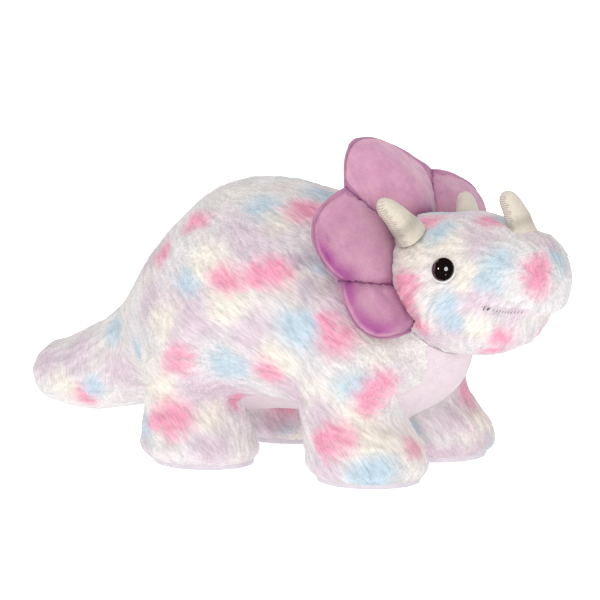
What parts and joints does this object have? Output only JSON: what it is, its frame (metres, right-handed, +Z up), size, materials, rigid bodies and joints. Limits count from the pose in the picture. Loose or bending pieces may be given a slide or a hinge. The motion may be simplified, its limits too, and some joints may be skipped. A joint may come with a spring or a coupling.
{
  "type": "stuffed dinosaur",
  "caption": "Plush horned dinosaur with a padded scalloped neck frill, soft horns, glossy eyes, short legs and a blunt tail, standing on flat soles.",
  "frame": {"origin": "on the ground, under the middle of the toy's box", "axes": "+X towards the nose, +Y towards the animal's left, +Z up"},
  "size_m": [0.353, 0.1706, 0.1892],
  "materials": {
    "fur": "matte",
    "lilac_velour": "matte",
    "sole_velour": "matte",
    "mauve_velour": "matte",
    "mauve_velour_back": "matte",
    "horn_velour": "matte",
    "stuffing": "matte",
    "eye_black": "gloss",
    "eye_white": "satin",
    "washer_plastic": "matte",
    "thread": "matte"
  },
  "bodies": {
    "torso": {"torso_stuffing": "stuffing", "torso_fur_left": "fur", "torso_fur_right": "fur", "belly_panel": "lilac_velour"},
    "neck": {"neck_stuffing": "stuffing"},
    "head": {"head_stuffing": "stuffing", "head_fur_left": "fur", "head_fur_right": "fur", "eye_left": "eye_black", "eye_right": "eye_black", "eye_ring_left": "eye_white", "eye_ring_right": "eye_white", "eye_washer_left": "washer_plastic", "eye_washer_right": "washer_plastic", "mouth_stitch_left": "thread", "mouth_stitch_right": "thread", "brow_horn_left_velour": "horn_velour", "brow_horn_left_stuffing": "stuffing", "brow_horn_right_velour": "horn_velour", "brow_horn_right_stuffing": "stuffing", "nose_horn_velour": "horn_velour", "nose_horn_stuffing": "stuffing"},
    "frill": {"frill_front": "mauve_velour", "frill_back": "mauve_velour_back", "frill_stuffing_right_lower": "stuffing", "frill_stuffing_right_middle": "stuffing", "frill_stuffing_top": "stuffing", "frill_stuffing_left_middle": "stuffing", "frill_stuffing_left_lower": "stuffing"},
    "tail": {"tail_stuffing": "stuffing", "tail_fur_left": "fur", "tail_fur_right": "fur"},
    "leg_front_left": {"leg_stuffing_front_left": "stuffing", "leg_fur_front_left": "fur", "sole_front_left": "sole_velour"},
    "leg_front_right": {"leg_stuffing_front_right": "stuffing", "leg_fur_front_right": "fur", "sole_front_right": "sole_velour"},
    "leg_hind_left": {"leg_stuffing_hind_left": "stuffing", "leg_fur_hind_left": "fur", "sole_hind_left": "sole_velour"},
    "leg_hind_right": {"leg_stuffing_hind_right": "stuffing", "leg_fur_hind_right": "fur", "sole_hind_right": "sole_velour"}
  },
  "joints": [
    {"name": "neck_turn", "type": "hinge", "parent": "torso", "child": "neck", "pos_m": [0.078, 0, 0.111], "axis": [0, 0, 1], "range_deg": [-8, 8], "stiffness_Nm_per_rad": 0.6},
    {"name": "head_nod", "type": "hinge", "parent": "neck", "child": "head", "pos_m": [0.078, 0, 0.111], "axis": [0, 1, 0], "range_deg": [-8, 6], "stiffness_Nm_per_rad": 1.2, "springref_deg": -1.15},
    {"name": "frill_flex", "type": "hinge", "parent": "head", "child": "frill", "pos_m": [0.078, 0, 0.111], "axis": [0, 1, 0], "range_deg": [-6, 4], "stiffness_Nm_per_rad": 0.3},
    {"name": "tail_wag", "type": "hinge", "parent": "torso", "child": "tail", "pos_m": [-0.098, 0, 0.05], "axis": [0, 0, 1], "range_deg": [-15, 15], "stiffness_Nm_per_rad": 0.4},
    {"name": "leg_swing_front_left", "type": "hinge", "parent": "torso", "child": "leg_front_left", "pos_m": [0.067, 0.044, 0.058], "axis": [0, 1, 0], "range_deg": [-12, 12], "stiffness_Nm_per_rad": 1},
    {"name": "leg_swing_front_right", "type": "hinge", "parent": "torso", "child": "leg_front_right", "pos_m": [0.067, -0.044, 0.058], "axis": [0, 1, 0], "range_deg": [-12, 12], "stiffness_Nm_per_rad": 1},
    {"name": "leg_swing_hind_left", "type": "hinge", "parent": "torso", "child": "leg_hind_left", "pos_m": [-0.042, 0.046, 0.058], "axis": [0, 1, 0], "range_deg": [-12, 12], "stiffness_Nm_per_rad": 1},
    {"name": "leg_swing_hind_right", "type": "hinge", "parent": "torso", "child": "leg_hind_right", "pos_m": [-0.042, -0.046, 0.058], "axis": [0, 1, 0], "range_deg": [-12, 12], "stiffness_Nm_per_rad": 1}
  ]
}
